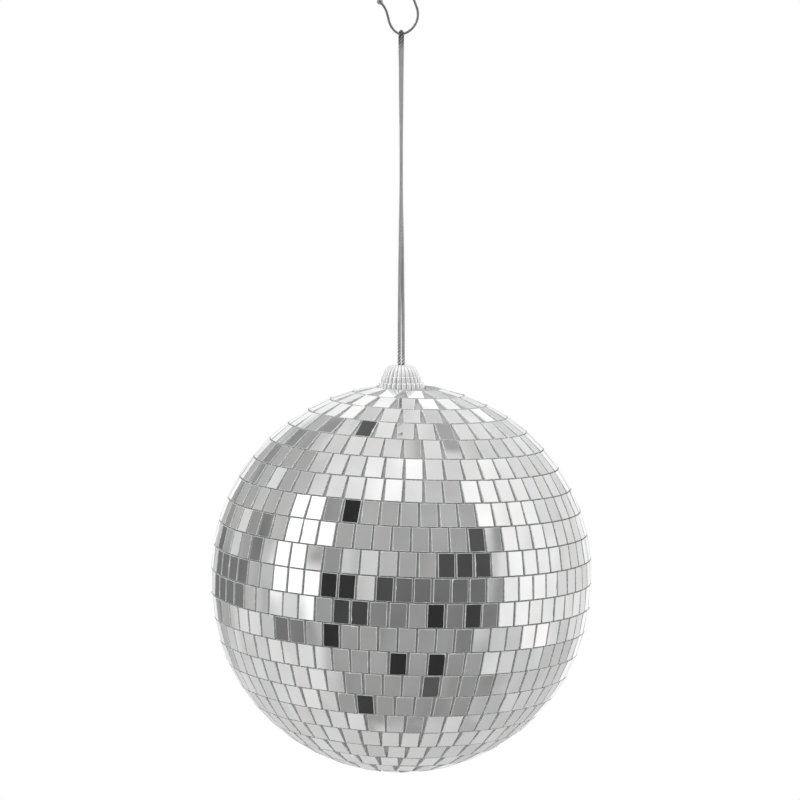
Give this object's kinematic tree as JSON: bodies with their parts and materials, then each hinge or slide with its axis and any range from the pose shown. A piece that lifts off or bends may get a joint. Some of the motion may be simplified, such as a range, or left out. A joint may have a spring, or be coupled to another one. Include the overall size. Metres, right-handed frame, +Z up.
{
  "type": "mirror ball",
  "caption": "Hanging mirror ball covered in rows of flat mirror tiles, with a fluted cap, a looped metallic cord and an S-hook.",
  "frame": {"origin": "inside crown of the hook's upper bend, where the hook bears on what holds it", "axes": "+Z up along the hanging axis, X across the hook's plane, -Y to the front"},
  "size_m": [0.15, 0.1499, 0.3446],
  "materials": {
    "mirror_glass": "silvered glass, polished face and ground edges",
    "adhesive": "dull grey adhesive skin with a scrim texture",
    "core_plastic": "moulded white plastic",
    "ring_plastic": "moulded pale grey plastic",
    "cap_metal": "bright silver with worn flutes",
    "washer_steel": "plain punched steel",
    "metallic_cord": "twisted metallised yarn",
    "hook_steel": "bright drawn wire",
    "bead_steel": "bright bead"
  },
  "bodies": {
    "hook": {"hook_wire": "hook_steel", "hook_bead_upper": "bead_steel", "hook_bead_lower": "bead_steel"},
    "cord": {"hanging_cord": "metallic_cord", "cord_knot": "metallic_cord"},
    "washer": {"swivel_washer": "washer_steel"},
    "ball": {"hanging_cap": "cap_metal", "core_upper": "core_plastic", "core_lower": "core_plastic", "seam_ring": "ring_plastic", "adhesive_upper": "adhesive", "adhesive_lower": "adhesive", "mirror_pole_tiles": "mirror_glass", "mirror_row_01": "mirror_glass", "mirror_row_02": "mirror_glass", "mirror_row_03": "mirror_glass", "mirror_row_04": "mirror_glass", "mirror_row_05": "mirror_glass", "mirror_row_06": "mirror_glass", "mirror_row_07": "mirror_glass", "mirror_row_08": "mirror_glass", "mirror_row_09": "mirror_glass", "mirror_row_10": "mirror_glass", "mirror_row_11": "mirror_glass", "mirror_row_12": "mirror_glass", "mirror_row_13": "mirror_glass", "mirror_row_14": "mirror_glass", "mirror_row_15": "mirror_glass", "mirror_row_16": "mirror_glass", "mirror_row_17": "mirror_glass", "mirror_row_18": "mirror_glass", "mirror_row_19": "mirror_glass", "mirror_row_20": "mirror_glass", "mirror_row_21": "mirror_glass", "mirror_row_22": "mirror_glass", "mirror_row_23": "mirror_glass"}
  },
  "joints": [
    {"name": "cord_swing", "type": "hinge", "parent": "hook", "child": "cord", "pos_m": [0, 0, -0.05424], "axis": [1, 0, 0], "range_deg": [-60, 60]},
    {"name": "ball_tilt", "type": "hinge", "parent": "cord", "child": "washer", "pos_m": [0, 0, -0.1863], "axis": [0, 1, 0], "range_deg": [-6, 6]},
    {"name": "ball_spin", "type": "hinge", "parent": "washer", "child": "ball", "pos_m": [0, 0, -0.1863], "axis": [0, 0, 1], "continuous": true}
  ]
}
